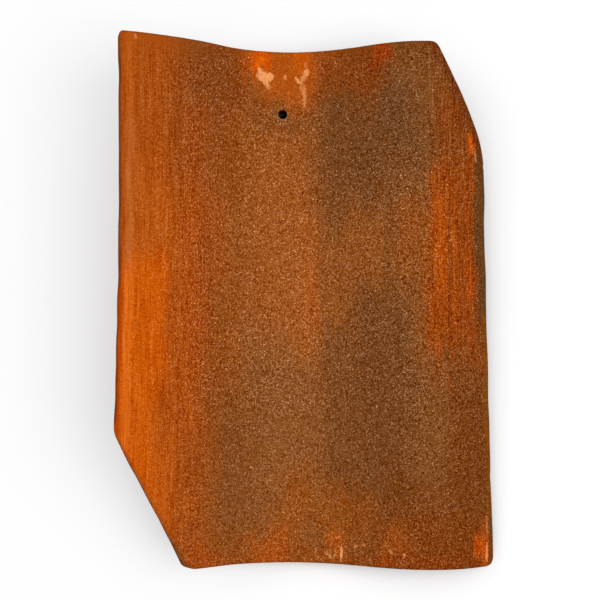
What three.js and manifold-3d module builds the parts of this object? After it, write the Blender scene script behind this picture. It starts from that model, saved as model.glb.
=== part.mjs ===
// A single-lap clay pantile, 13 1/2 x 9 1/2 inches. One flat clay bat with two mitred corners is cut,
// bent over an S-shaped mould, given a hanging nib at its head and a nail hole below that, and fired.
//
// Frame: millimetres, +Z up. The tile lies as it comes to rest on a level floor, on its nib, the foot
// of its pan and its right edge. The head points along +Y and the roll is on the +X side. The origin
// is the middle of the floor under the tile.

import * as THREE from "three";
import { ConvexHull } from "three/addons/math/ConvexHull.js";
import { mergeVertices } from "three/addons/utils/BufferGeometryUtils.js";
import Module from "manifold-3d";

const wasm = await Module();
wasm.setup();

// Driving dimensions, in millimetres and degrees.

const length = 342;
const width = 241;
const thickness = 13;
const edgeRadius = 2.6;

// The section's top line, as the tile is laid: how far each place lies across from the left edge, how
// high it is over the bottom of the pan, and how steeply the line climbs to the right there.
const leftEdge = { across: 0, height: 31, slope: -1.5 };
const leftLip = { across: 25, height: 26.7, slope: -14.3 };
const upstandFlank = { across: 70.5, height: 8, slope: -31 };
const panBottom = { across: 106.5, height: 0, slope: 0 };
const rollFlank = { across: 161, height: 28.5, slope: 43.5 };
const rollCrest = { across: 207.5, height: 50, slope: 0 };
const rightEdge = { across: width, height: 38.5, slope: -26 };

// The mitres and corners, measured on the flat bat before it is bent.
const headMitre = { across: 39, along: 68 };
const footMitre = { across: 53, along: 87 };
const headLeftRadius = 3.5;
const headMitreRadius = 7.5;
const rightMitreRadius = 60;
const footRightRadius = 8;
const footMitreRadius = 7.5;
const leftMitreRadius = 12;

// How the bent clay spreads in drying: the foot is wider than the head, and the left edge is drawn in
// at its waist, half way along.
const footSpreadLeft = 2.5;
const footSpreadRight = 5.5;
const leftWaist = 2.3;

// The nib under the head of the pan, a little right of the pan's bottom: its tip, the draft of its
// sides and the sweep at its root.
const nibFromPanBottom = 4.5;
const nibSetback = 10;
const nibWidth = 38;
const nibLength = 16;
const nibDepth = 15;
const nibCornerRadius = 5;
const nibTipRadius = 2.5;
const nibDraft = 8;
const nibRootRadius = 5;
const nibRootInClay = 6;
const nibRootSeat = 0.4;

// The nail hole, below the nib.
const nailHoleDiameter = 5.5;
const nailHoleFromPanBottom = 4.5;
const nailHoleFromHead = 43;
const punchPastClay = 10;

// How finely the clay is faceted.
const stepsAcross = 44;
const stepsOnEdge = 3;
const stepsOnCorner = 5;
const stepsOnNibSide = 6;
const stepsRoundHole = 24;
const stepAlong = 28;
const stepAlongMitre = 9;
const closestRows = 0.7;
const endRimRadius = 0.5;
const samePlace = 1e-4;

const clay = new THREE.MeshStandardMaterial({ color: 0xa8542a, roughness: 0.9, metalness: 0 });

const quarterTurn = Math.PI / 2;

function climb(degrees) {
  return Math.tan(THREE.MathUtils.degToRad(degrees));
}

// The section's top line: one curve from each named place to the next, which leaves and reaches them
// at their slopes. Places on it are found by their distance along the clay.
function sectionLine() {
  const places = [leftEdge, leftLip, upstandFlank, panBottom, rollFlank, rollCrest, rightEdge];
  const line = new THREE.CurvePath();
  for (let i = 1; i < places.length; i += 1) {
    const from = places[i - 1];
    const to = places[i];
    const third = (to.across - from.across) / 3;
    line.add(new THREE.CubicBezierCurve(
      new THREE.Vector2(from.across, from.height),
      new THREE.Vector2(from.across + third, from.height + third * climb(from.slope)),
      new THREE.Vector2(to.across - third, to.height - third * climb(to.slope)),
      new THREE.Vector2(to.across, to.height),
    ));
  }
  return line;
}

const section = sectionLine();
const batWidth = section.getLength();
const batMiddle = batWidth / 2;

// How far the left and the right edge are spread to the right, at a share of the way to the foot.
function spreadLeft(toFoot) {
  return leftWaist * 4 * toFoot * (1 - toFoot) - footSpreadLeft * toFoot ** 2;
}

function spreadRight(toFoot) {
  return footSpreadRight * toFoot ** 2;
}

// A point of the flat bat, `deep` below its top face, carried onto the bent tile.
function bend(onBat, along, deep) {
  const share = THREE.MathUtils.clamp(onBat / batWidth, 0, 1);
  const top = section.getPoint(share);
  const run = section.getTangent(share);
  const x = top.x + run.y * deep;
  const toFoot = (length - along) / length;
  const spread = THREE.MathUtils.lerp(spreadLeft(toFoot), spreadRight(toFoot), x / width);
  return new THREE.Vector3(x + spread, along, top.y - run.x * deep);
}

// Where on the bat the clay lies that comes `across` from the left edge once it is bent.
function batPlace(across, along, deep) {
  let low = 0;
  let high = batWidth;
  while (high - low > samePlace) {
    const middle = (low + high) / 2;
    if (bend(middle, along, deep).x < across) low = middle;
    else high = middle;
  }
  return low;
}

// One side of the bat's outline, from foot to head. Each corner is { x, y, radius } on the bat.
function roundedSide(corners) {
  const path = new THREE.Path();
  path.moveTo(corners[0].x, corners[0].y);
  for (let i = 1; i < corners.length - 1; i += 1) {
    const corner = new THREE.Vector2(corners[i].x, corners[i].y);
    const back = new THREE.Vector2(corners[i - 1].x, corners[i - 1].y).sub(corner).normalize();
    const on = new THREE.Vector2(corners[i + 1].x, corners[i + 1].y).sub(corner).normalize();
    const cutBack = corners[i].radius / Math.tan(Math.acos(back.dot(on)) / 2);
    path.lineTo(corner.x + back.x * cutBack, corner.y + back.y * cutBack);
    path.quadraticCurveTo(corner.x, corner.y, corner.x + on.x * cutBack, corner.y + on.y * cutBack);
  }
  const last = corners[corners.length - 1];
  path.lineTo(last.x, last.y);
  return path.getPoints(stepsOnCorner);
}

function leftSide() {
  return roundedSide([
    { x: batMiddle, y: 0 },
    { x: footMitre.across, y: 0, radius: footMitreRadius },
    { x: 0, y: footMitre.along, radius: leftMitreRadius },
    { x: 0, y: length, radius: headLeftRadius },
    { x: batMiddle, y: length },
  ]);
}

function rightSide() {
  return roundedSide([
    { x: batMiddle, y: 0 },
    { x: batWidth, y: 0, radius: footRightRadius },
    { x: batWidth, y: length - headMitre.along, radius: rightMitreRadius },
    { x: batWidth - headMitre.across, y: length, radius: headMitreRadius },
    { x: batMiddle, y: length },
  ]);
}

// Where a side of the outline lies on the bat, a given way along from the foot.
function sideAt(side, along) {
  const next = side.findIndex((point) => point.y > 0 && point.y >= along);
  const before = side[next - 1];
  const share = (along - before.y) / (side[next].y - before.y);
  return THREE.MathUtils.lerp(before.x, side[next].x, share);
}

// A quarter round in steps, from the outermost point onto the flat: how far `inward` each step lies,
// and how far it is `drawn` in from the face.
function quarterRound(radius) {
  const steps = [];
  for (let i = 0; i <= stepsOnEdge; i += 1) {
    const turn = (i / stepsOnEdge) * quarterTurn;
    steps.push({ inward: radius * (1 - Math.cos(turn)), drawn: radius * (1 - Math.sin(turn)) });
  }
  return steps;
}

// The rows along the tile: the rim at both ends, one row at every point of the rounded corners, and
// even steps between, which are closer across the mitres. The rim of the sides shrinks to a small
// round at the two end rows.
function rowsAlong(outline) {
  const alongs = outline.map((point) => point.y);
  const stretches = [
    { from: 0, to: footMitre.along, step: stepAlongMitre },
    { from: footMitre.along, to: length - headMitre.along, step: stepAlong },
    { from: length - headMitre.along, to: length, step: stepAlongMitre },
  ];
  for (const { from, to, step } of stretches) {
    const count = Math.ceil((to - from) / step);
    for (let i = 0; i <= count; i += 1) alongs.push(THREE.MathUtils.lerp(from, to, i / count));
  }
  const rows = [];
  for (const { inward, drawn } of quarterRound(edgeRadius)) {
    const sideRim = THREE.MathUtils.lerp(edgeRadius, endRimRadius, drawn / edgeRadius);
    rows.push({ along: inward, drawn, sideRim }, { along: length - inward, drawn, sideRim });
  }
  let last = edgeRadius;
  for (const along of alongs.sort((a, b) => a - b)) {
    if (along - last > closestRows && along < length - edgeRadius - closestRows) {
      rows.push({ along, drawn: 0, sideRim: edgeRadius });
      last = along;
    }
  }
  return rows.sort((a, b) => a.along - b.along);
}

// The places of one row across the bat: the rim at each side and even steps between.
function placesAcross(from, to, rimRadius) {
  const rim = quarterRound(rimRadius);
  const places = rim.map(({ inward, drawn }) => ({ onBat: from + inward, drawn }));
  for (let i = 1; i < stepsAcross; i += 1) {
    const onBat = THREE.MathUtils.lerp(from + rimRadius, to - rimRadius, i / stepsAcross);
    places.push({ onBat, drawn: 0 });
  }
  for (const { inward, drawn } of rim.reverse()) places.push({ onBat: to - inward, drawn });
  return places;
}

// The clay without its nib and hole: a top and a bottom skin over the bat's outline, drawn in round
// the rim.
function bentBat() {
  const left = leftSide();
  const right = rightSide();
  const rows = rowsAlong([...left, ...right]);
  const top = [];
  const bottom = [];
  for (const row of rows) {
    const from = sideAt(left, row.along);
    const to = sideAt(right, row.along);
    for (const { onBat, drawn } of placesAcross(from, to, row.sideRim)) {
      const deep = row.drawn + drawn;
      top.push(bend(onBat, row.along, deep));
      bottom.push(bend(onBat, row.along, thickness - deep));
    }
  }
  return joinedSkins(top, bottom, rows.length);
}

// Two skins of points, row by row from the foot, joined round their rim into one closed body.
function joinedSkins(top, bottom, rowCount) {
  const perRow = top.length / rowCount;
  const under = top.length;
  const faces = [];
  const quad = (a, b, c, d) => faces.push(a, b, c, a, c, d);
  for (let row = 0; row < rowCount - 1; row += 1) {
    const first = row * perRow;
    const last = first + perRow - 1;
    for (let i = first; i < last; i += 1) {
      quad(i, i + 1, i + 1 + perRow, i + perRow);
      quad(under + i, under + i + perRow, under + i + 1 + perRow, under + i + 1);
    }
    quad(first, first + perRow, under + first + perRow, under + first);
    quad(last, under + last, under + last + perRow, last + perRow);
  }
  const head = (rowCount - 1) * perRow;
  for (let i = 0; i < perRow - 1; i += 1) {
    quad(i, under + i, under + i + 1, i + 1);
    quad(head + i, head + i + 1, under + head + i + 1, under + head + i);
  }
  return solid([...top, ...bottom], faces);
}

// Loops of points, one below the other, joined into one closed body.
function stackedLoops(loops) {
  const perLoop = loops[0].length;
  const faces = [];
  for (let loop = 0; loop < loops.length - 1; loop += 1) {
    for (let i = 0; i < perLoop; i += 1) {
      const a = loop * perLoop + i;
      const b = loop * perLoop + ((i + 1) % perLoop);
      faces.push(a, a + perLoop, b + perLoop, a, b + perLoop, b);
    }
  }
  const lowest = (loops.length - 1) * perLoop;
  for (let i = 1; i < perLoop - 1; i += 1) {
    faces.push(0, i, i + 1);
    faces.push(lowest, lowest + i + 1, lowest + i);
  }
  return solid(loops.flat(), faces);
}

function solid(points, faces) {
  const geometry = new THREE.BufferGeometry().setFromPoints(points);
  geometry.setIndex(faces);
  return solidOf(geometry);
}

function solidOf(geometry) {
  geometry.deleteAttribute("normal");
  geometry.deleteAttribute("uv");
  const merged = mergeVertices(geometry, samePlace);
  return new wasm.Manifold(new wasm.Mesh({
    numProp: 3,
    vertProperties: merged.attributes.position.array,
    triVerts: new Uint32Array(merged.index.array),
  }));
}

const undersideOfPan = panBottom.height - thickness;
const nibTipHeight = undersideOfPan - nibDepth;

// The nib's outline, seen from above: a rectangle with round corners, which `widerAt` pushes out by
// its own amount at each point. Its straight sides are stepped to follow the curve of the pan.
function nibOutline(widerAt) {
  const across = panBottom.across + nibFromPanBottom;
  const middle = new THREE.Vector2(across, length - nibSetback - nibLength / 2);
  const toCorner = new THREE.Vector2(nibWidth / 2 - nibCornerRadius, nibLength / 2 - nibCornerRadius);
  const corners = [[1, 1], [-1, 1], [-1, -1], [1, -1]].map(([right, up]) => (
    new THREE.Vector2(right, up).multiply(toCorner).add(middle)
  ));
  const points = [];
  const push = (from, turn) => {
    const out = new THREE.Vector2(Math.cos(turn), Math.sin(turn));
    const onTip = from.clone().addScaledVector(out, nibCornerRadius);
    points.push(widerAt(onTip, out));
  };
  corners.forEach((corner, side) => {
    for (let i = 0; i <= stepsOnCorner; i += 1) push(corner, (side + i / stepsOnCorner) * quarterTurn);
    const next = corners[(side + 1) % corners.length];
    for (let i = 1; i < stepsOnNibSide; i += 1) {
      push(corner.clone().lerp(next, i / stepsOnNibSide), (side + 1) * quarterTurn);
    }
  });
  return points;
}

// How much wider than the tip the nib's drafted sides are at a height.
function nibWidening(height) {
  return (height - nibTipHeight) * climb(nibDraft);
}

// A loop of the nib's root, `below` the curved underside and `out` from the drafted sides.
function rootLoop(below, out) {
  return nibOutline((onTip, outward) => {
    const near = onTip.clone().addScaledVector(outward, nibWidening(undersideOfPan) + out);
    const height = bend(batPlace(near.x, near.y, thickness), near.y, thickness).z - below;
    const place = onTip.clone().addScaledVector(outward, nibWidening(height) + out);
    return new THREE.Vector3(place.x, place.y, height);
  });
}

// A level loop of the nib's tip.
function tipLoop(height, inward) {
  return nibOutline((onTip, outward) => {
    const place = onTip.clone().addScaledVector(outward, nibWidening(height) - inward);
    return new THREE.Vector3(place.x, place.y, height);
  });
}

// The nib: it starts inside the clay, sweeps out of the curved underside, and runs down its drafted
// sides to a flat tip with a rounded edge. The rim of the sweep is seated a little way into the clay.
function nib() {
  const loops = [rootLoop(-nibRootInClay, nibRootRadius)];
  for (const { inward, drawn } of quarterRound(nibRootRadius)) {
    loops.push(rootLoop(inward - nibRootSeat, drawn));
  }
  for (const { inward, drawn } of quarterRound(nibTipRadius).reverse()) {
    loops.push(tipLoop(nibTipHeight + nibTipRadius - drawn, nibTipRadius - inward));
  }
  return stackedLoops(loops);
}

// The punch that makes the nail hole, square through the clay.
function nailPunch() {
  const along = length - nailHoleFromHead;
  const across = batPlace(panBottom.across + nailHoleFromPanBottom, along, 0);
  const above = bend(across, along, -punchPastClay);
  const below = bend(across, along, thickness + punchPastClay);
  const radius = nailHoleDiameter / 2;
  const punch = new THREE.CylinderGeometry(radius, radius, above.distanceTo(below), stepsRoundHole);
  const axis = above.clone().sub(below).normalize();
  punch.applyQuaternion(new THREE.Quaternion().setFromUnitVectors(new THREE.Vector3(0, 1, 0), axis));
  const middle = above.clone().lerp(below, 0.5);
  punch.translate(middle.x, middle.y, middle.z);
  return solidOf(punch);
}

function tileGeometry() {
  const tile = bentBat().add(nib()).subtract(nailPunch());
  const { vertProperties, triVerts } = tile.getMesh();
  const geometry = new THREE.BufferGeometry();
  geometry.setAttribute("position", new THREE.BufferAttribute(vertProperties, 3));
  geometry.setIndex(new THREE.BufferAttribute(triVerts, 1));
  return geometry;
}

// The corners of a geometry's triangles, three by three.
function cornersOf(geometry) {
  const { index, attributes } = geometry;
  return Array.from(index.array, (i) => new THREE.Vector3().fromBufferAttribute(attributes.position, i));
}

function centreOfMass(corners) {
  const centre = new THREE.Vector3();
  let volume = 0;
  for (let i = 0; i < corners.length; i += 3) {
    const [a, b, c] = corners.slice(i, i + 3);
    const wedge = a.dot(b.clone().cross(c));
    centre.addScaledVector(a.clone().add(b).add(c), wedge / 4);
    volume += wedge;
  }
  return centre.divideScalar(volume);
}

// The face of the clay's hull that it comes to rest on: the one below that lies under its centre of
// mass.
function restingNormal(corners) {
  const centre = centreOfMass(corners);
  const hull = new ConvexHull().setFromPoints(corners);
  const face = hull.faces.find(({ normal, constant, edge }) => {
    const under = centre.clone().addScaledVector(normal, constant - normal.dot(centre));
    const triangle = new THREE.Triangle(edge.tail().point, edge.head().point, edge.next.head().point);
    return normal.z < 0 && triangle.containsPoint(under);
  });
  return face.normal;
}

// The turn that brings a downward face level, with the head still pointing along +Y.
function layOn(normal) {
  const up = normal.clone().negate();
  const along = new THREE.Vector3(0, 1, 0).projectOnPlane(up).normalize();
  const across = along.clone().cross(up);
  const lying = new THREE.Matrix4().makeBasis(across, along, up);
  return new THREE.Quaternion().setFromRotationMatrix(lying).invert();
}

const pantile = new THREE.Mesh(tileGeometry(), clay);
pantile.name = "pantile";
pantile.quaternion.copy(layOn(restingNormal(cornersOf(pantile.geometry))));
const group = new THREE.Group();
group.add(pantile);
const box = new THREE.Box3().setFromObject(group, true);
pantile.position.set(-(box.min.x + box.max.x) / 2, -(box.min.y + box.max.y) / 2, -box.min.z);

export default group;
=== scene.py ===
import bpy
import numpy as np
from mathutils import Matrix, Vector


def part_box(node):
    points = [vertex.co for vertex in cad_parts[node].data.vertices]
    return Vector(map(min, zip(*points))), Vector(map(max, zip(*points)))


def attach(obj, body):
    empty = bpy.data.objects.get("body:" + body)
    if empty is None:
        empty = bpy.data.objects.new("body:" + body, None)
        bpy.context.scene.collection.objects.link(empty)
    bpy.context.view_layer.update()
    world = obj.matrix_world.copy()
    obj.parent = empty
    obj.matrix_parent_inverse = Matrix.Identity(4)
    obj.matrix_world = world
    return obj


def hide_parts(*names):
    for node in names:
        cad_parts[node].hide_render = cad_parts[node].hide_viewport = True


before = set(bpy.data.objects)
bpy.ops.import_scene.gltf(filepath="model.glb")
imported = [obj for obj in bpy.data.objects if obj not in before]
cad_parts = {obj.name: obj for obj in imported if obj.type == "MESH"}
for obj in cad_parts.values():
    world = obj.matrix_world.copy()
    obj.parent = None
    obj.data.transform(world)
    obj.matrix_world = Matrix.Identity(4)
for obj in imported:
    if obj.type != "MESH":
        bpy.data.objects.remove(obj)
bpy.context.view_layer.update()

# ----------------------------------------
# The bat: one slab of wet clay with two mitred corners and a rounded rim, bent over an S-shaped
# mould and dried. It stands for the whole CAD solid, with the nib and the nail hole that follow.

MM = 0.001

LENGTH = 342.0
WIDTH = 241.0
THICKNESS = 13.0
EDGE_RADIUS = 2.6
END_RIM_RADIUS = 0.5

# The places that the section's top line passes: across, height over the pan, and slope.
SECTION = np.array([
    (0.0, 31.0, -1.5),  # left edge
    (25.0, 26.7, -14.3),  # left lip
    (70.5, 8.0, -31.0),  # flank of the upstand
    (106.5, 0.0, 0.0),  # bottom of the pan
    (161.0, 28.5, 43.5),  # flank of the roll
    (207.5, 50.0, 0.0),  # crest of the roll
    (WIDTH, 38.5, -26.0),  # right edge
])
HEAD_MITRE = (39.0, 68.0)
FOOT_MITRE = (53.0, 87.0)
FOOT_SPREAD_LEFT = 2.5
FOOT_SPREAD_RIGHT = 5.5
LEFT_WAIST = 2.3

# How the tile comes to rest, on its nib, the foot of its pan and its right edge.
FALL_TO_THE_RIGHT = 18.669
CLIMB_TO_THE_HEAD = 3.0936


def section_line(steps=200):
    """Each stretch between two named places is the cubic curve whose inner control points lie on the
    slopes at its ends, a third of the way across. Returns, for points close together, the run of
    clay up to each, its place across, its height, and the line's direction across and up."""
    share = np.linspace(0, 1, steps, endpoint=False)
    x0, z0, slope0 = SECTION[:-1].T[..., None]
    x3, z3, slope3 = SECTION[1:].T[..., None]
    third = (x3 - x0) / 3
    z1 = z0 + third * np.tan(np.radians(slope0))
    z2 = z3 - third * np.tan(np.radians(slope3))
    back = 1 - share
    z = back**3 * z0 + 3 * back**2 * share * z1 + 3 * back * share**2 * z2 + share**3 * z3
    x = np.append(x0 + (x3 - x0) * share, SECTION[-1, 0])
    z = np.append(z, SECTION[-1, 1])
    run = np.concatenate([[0], np.cumsum(np.hypot(np.diff(x), np.diff(z)))])
    slope = np.gradient(z, x)
    level = 1 / np.hypot(1, slope)
    return run, x, z, level, slope * level


LINE_RUN, LINE_X, LINE_Z, LINE_LEVEL, LINE_RISE = section_line()
BAT_WIDTH = LINE_RUN[-1]


def bend(across, along, deep):
    """The section line's point at that run of clay, moved square to the line by the depth, and spread
    sideways by the square of the way to the foot, with the left edge drawn in at its waist."""
    x = np.interp(across, LINE_RUN, LINE_X) + np.interp(across, LINE_RUN, LINE_RISE) * deep
    z = np.interp(across, LINE_RUN, LINE_Z) - np.interp(across, LINE_RUN, LINE_LEVEL) * deep
    to_foot = (LENGTH - along) / LENGTH
    left = LEFT_WAIST * 4 * to_foot * (1 - to_foot) - FOOT_SPREAD_LEFT * to_foot**2
    right = FOOT_SPREAD_RIGHT * to_foot**2
    return np.stack([x + left + (right - left) * x / WIDTH, along + 0 * x, z], axis=-1)


def rounded_side(corners, steps=8):
    """One side of the outline from foot to head. At each (across, along, radius) corner a curve leaves
    one straight where a circle of that radius would touch it, and joins the next."""
    share = np.linspace(0, 1, steps + 1)[:, None]
    places = []
    for before, corner, after in zip(corners, corners[1:], corners[2:]):
        middle = np.array(corner[:2])
        back = np.array(before[:2]) - middle
        on = np.array(after[:2]) - middle
        back /= np.linalg.norm(back)
        on /= np.linalg.norm(on)
        cut = corner[2] / np.tan(np.arccos(back @ on) / 2)
        start, end = middle + back * cut, middle + on * cut
        places.append((1 - share)**2 * start + 2 * share * (1 - share) * middle + share**2 * end)
    return np.concatenate(places)


LEFT_SIDE = rounded_side([
    (BAT_WIDTH / 2, 0.0),
    (FOOT_MITRE[0], 0.0, 7.5),
    (0.0, FOOT_MITRE[1], 12.0),
    (0.0, LENGTH, 3.5),
    (BAT_WIDTH / 2, LENGTH),
])
RIGHT_SIDE = rounded_side([
    (BAT_WIDTH / 2, 0.0),
    (BAT_WIDTH, 0.0, 8.0),
    (BAT_WIDTH, LENGTH - HEAD_MITRE[1], 60.0),
    (BAT_WIDTH - HEAD_MITRE[0], LENGTH, 7.5),
    (BAT_WIDTH / 2, LENGTH),
])


def stretches(*parts):
    """Places along a line, evenly spaced in each (start, end, step) part."""
    return np.unique(np.concatenate([
        np.linspace(start, end, round((end - start) / step) + 1) for start, end, step in parts
    ]).round(6))


def waves(seed, across, along, longest, shortest, count=14):
    """A smooth uneven surface of unit spread: a sum of plane waves of seeded direction, length and
    phase."""
    draw = np.random.default_rng(seed)
    total = 0.0
    for _ in range(count):
        turn, phase = draw.uniform(0, 2 * np.pi, 2)
        per_mm = 2 * np.pi / np.exp(draw.uniform(np.log(shortest), np.log(longest)))
        total = total + np.sin((across * np.cos(turn) + along * np.sin(turn)) * per_mm + phase)
    return total / np.sqrt(count / 2)


def smooth(value, start, end):
    """Rises from 0 at start to 1 at end, level at both."""
    share = np.clip((value - start) / (end - start), 0, 1)
    return share**2 * (3 - 2 * share)


# The grid of points over the bat. Its columns run straight down the middle of the bat and crowd
# together beside the mitres; its rows and columns are closest at the head, the nib and the foot.
CORE_LEFT = 66.0
CORE_RIGHT = 210.0
FINE_LEFT = 86.0
FINE_RIGHT = 147.0
FINE_FOOT = 24.0
FINE_HEAD = 286.0
FINE_STEP = 1.0
COLUMN_STEP = 2.0
ROW_STEP = 2.2
COLUMNS_BESIDE = 30
RIM_POINTS = 5

quarter = np.linspace(0, np.pi / 2, RIM_POINTS, endpoint=False)
rim_inward = 1 - np.cos(quarter)
rim_drawn = 1 - np.sin(quarter)

flat_rows = stretches(
    (EDGE_RADIUS, FINE_FOOT, FINE_STEP),
    (FINE_FOOT, FINE_HEAD, ROW_STEP),
    (FINE_HEAD, LENGTH - EDGE_RADIUS, FINE_STEP),
)
row_along = np.concatenate([
    EDGE_RADIUS * rim_inward, flat_rows, LENGTH - EDGE_RADIUS * rim_inward[::-1]
])
row_drawn = np.concatenate([
    EDGE_RADIUS * rim_drawn, 0 * flat_rows, EDGE_RADIUS * rim_drawn[::-1]
])[:, None]
core = stretches(
    (CORE_LEFT, FINE_LEFT, COLUMN_STEP),
    (FINE_LEFT, FINE_RIGHT, FINE_STEP),
    (FINE_RIGHT, CORE_RIGHT, COLUMN_STEP),
)
beside = np.linspace(0, 1, COLUMNS_BESIDE, endpoint=False)

# Both sides wander inwards a little, but not near their ends.
EDGE_WANDER = 0.15
STRAIGHT_END = 20.0

side_rim = EDGE_RADIUS + (END_RIM_RADIUS - EDGE_RADIUS) * row_drawn / EDGE_RADIUS
wander = EDGE_WANDER * smooth(row_along, 0, STRAIGHT_END)
wander *= 1 - smooth(row_along, LENGTH - STRAIGHT_END, LENGTH)
left = np.interp(row_along, LEFT_SIDE[:, 1], LEFT_SIDE[:, 0])
right = np.interp(row_along, RIGHT_SIDE[:, 1], RIGHT_SIDE[:, 0])
left = (left + wander * (1 + waves(11, 0, row_along, longest=90, shortest=18)))[:, None]
right = (right - wander * (1 + waves(12, 0, row_along, longest=90, shortest=18)))[:, None]
left_flat = left + side_rim
right_flat = right - side_rim
flat = np.concatenate([
    left + side_rim * rim_inward,
    left_flat + (CORE_LEFT - left_flat) * beside,
    np.broadcast_to(core, (len(row_along), len(core))),
    (right_flat - (right_flat - CORE_RIGHT) * beside)[:, ::-1],
    right - side_rim * rim_inward[::-1],
], axis=1)
skin = np.stack([flat, np.broadcast_to(row_along[:, None], flat.shape)], axis=-1)
rim_columns = len(rim_drawn)
column_drawn = np.zeros(flat.shape)
column_drawn[:, :rim_columns] = side_rim * rim_drawn
column_drawn[:, -rim_columns:] = side_rim * rim_drawn[::-1]
drawn_in = row_drawn + column_drawn
ROWS, COLUMNS = flat.shape


def border(grid):
    """The outer points of a grid of points, once round, anticlockwise as seen from above."""
    return np.concatenate([grid[0, :-1], grid[:-1, -1], grid[-1, :0:-1], grid[:0:-1, 0]])


def quads(numbers):
    """One face for every cell of a grid of point numbers, facing up where its rows run along the tile
    and its columns across it."""
    corners = [numbers[:-1, :-1], numbers[:-1, 1:], numbers[1:, 1:], numbers[1:, :-1]]
    return np.stack(corners, axis=-1).reshape(-1, 4)


def loft(rings):
    """The faces between closed rings of point numbers, each ring anticlockwise as seen from above. They
    face away from the middle where the rings go up, and towards it where they go down."""
    rings = np.stack(rings)
    return quads(np.concatenate([rings, rings[:, :1]], axis=1))


def block_of_cells(middle, half):
    """The rows and columns of the grid that come closest to a rectangle on the bat."""
    column = np.abs(core - (middle[0] + np.array([[-half[0]], [half[0]]]))).argmin(axis=1)
    row = np.abs(row_along - (middle[1] + np.array([[-half[1]], [half[1]]]))).argmin(axis=1)
    return row, column + rim_columns + COLUMNS_BESIDE


def inside(block):
    """The slices that take a block, borders included, out of the grid."""
    (bottom, top), (first, last) = block
    return slice(bottom, top + 1), slice(first, last + 1)


NEVER_ZERO = 1e-9


def around(block):
    """Where each point of the grid lies about a block: the place on the border of a square from -1 to 1
    in the same direction, and how far out it is, with 1 on the border."""
    (bottom, top), (first, last) = block
    a = (np.arange(COLUMNS)[None, :] - (first + last) / 2) * 2 / (last - first)
    b = (np.arange(ROWS)[:, None] - (bottom + top) / 2) * 2 / (top - bottom)
    out = np.maximum(np.maximum(np.abs(a), np.abs(b)), NEVER_ZERO)
    return a / out, b / out, out


def drawn_onto(grid, block, outline, reach):
    """Moves the points about a block so that its border lies on an outline. A point further out moves
    by less, and not at all past `reach` times the block's size or on the rim."""
    a, b, out = around(block)
    middle = grid[inside(block)].mean(axis=(0, 1))
    on_border = middle + (grid - middle) / out[..., None]
    pull = 1 - smooth(out, 1, reach)
    pull[(out > 1) & (drawn_in > 0)] = 0
    return grid + pull[..., None] * (outline(a, b) - on_border)


# ----------------------------------------
# The nail hole: punched square through the wet clay from above. The punch has left a worn rim on
# top and pushed a low burr out below.

HOLE_RADIUS = 2.75
HOLE_PLACE = (116.7, 299.0)
HOLE_WORN_RIM = 0.3
HOLE_BURR_SPREAD = 0.7
HOLE_BURR = 0.45
HOLE_BLOCK_INSET = 0.2

# How far these reach from the hole, as a multiple of its block's size: the grid that is drawn onto it,
# the burr's inner and outer slopes, and the clay about it that the punch has left even.
HOLE_REACH = 2.6
BURR_RISE = (0.4, 1.0)
BURR_FALL = (1.2, 2.2)
EVEN_BY_HOLE = (1.0, 2.5)

hole_block = block_of_cells(HOLE_PLACE, np.full(2, HOLE_RADIUS - HOLE_BLOCK_INSET))


def hole_outline(radius):
    """A circle of that radius about the hole, in the direction of each border point."""

    def outline(a, b):
        return np.array(HOLE_PLACE) + radius * np.stack([a, b], axis=-1) / np.hypot(a, b)[..., None]

    return outline


# The bore, from the top down: how deep each ring lies and how much wider than the hole it is.
BORE_RINGS = [
    (0.25, 0.12), (0.8, 0.0), (3.5, 0.04), (6.5, -0.03), (9.5, 0.02), (12.0, 0.08), (12.8, 0.3)
]

# ----------------------------------------
# The nib: a square lug pressed out of the same clay under the head of the pan, which hooks over a
# batten. It sweeps out of the underside, has drafted sides and a flat tip with rounded edges.

NIB_MIDDLE = np.array([111.0, LENGTH - 18.0])
NIB_TIP = np.array([38.0, 16.0])
NIB_DEPTH = 15.0
NIB_CORNER_RADIUS = 5.0
NIB_TIP_RADIUS = 2.5
NIB_ROOT_RADIUS = 5.0
NIB_DRAFT = 8.0
NIB_REACH = 1.3
NIB_BLOCK_INSET = 0.5
NIB_TURNS = 8
TRIES_TO_HIT = 30
PAN_UNDERSIDE = -THICKNESS
NIB_TIP_HEIGHT = PAN_UNDERSIDE - NIB_DEPTH


def bat_place(x, y, deep):
    """Where on the bat the clay lies that is bent to a place across: the guess is moved by what it
    misses until it hits."""
    across = x
    for _ in range(TRIES_TO_HIT):
        across = across + x - bend(across, y, deep)[..., 0]
    return across


def nib_edge(a, b):
    """A square's border stretched over the nib's tip and drawn round at its corners, and the direction
    square to it."""
    on_tip = np.stack([a, b], axis=-1) * NIB_TIP / 2
    middle = np.clip(on_tip, NIB_CORNER_RADIUS - NIB_TIP / 2, NIB_TIP / 2 - NIB_CORNER_RADIUS)
    outward = on_tip - middle
    outward /= np.linalg.norm(outward, axis=-1, keepdims=True)
    return NIB_MIDDLE + middle + outward * NIB_CORNER_RADIUS, outward


def nib_widening(height):
    """How much wider than the tip the drafted sides are at a height."""
    return (height - NIB_TIP_HEIGHT) * np.tan(np.radians(NIB_DRAFT))


def nib_root(a, b, below, out):
    """A loop of the nib that far below the bent underside and out from the drafted sides."""
    edge, outward = nib_edge(a, b)
    near = edge + outward * (nib_widening(PAN_UNDERSIDE) + out)
    across = bat_place(near[..., 0], near[..., 1], THICKNESS)
    height = bend(across, near[..., 1], THICKNESS)[..., 2] - below
    place = edge + outward * (nib_widening(height) + out)[..., None]
    return np.concatenate([place, height[..., None]], axis=-1)


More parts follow.
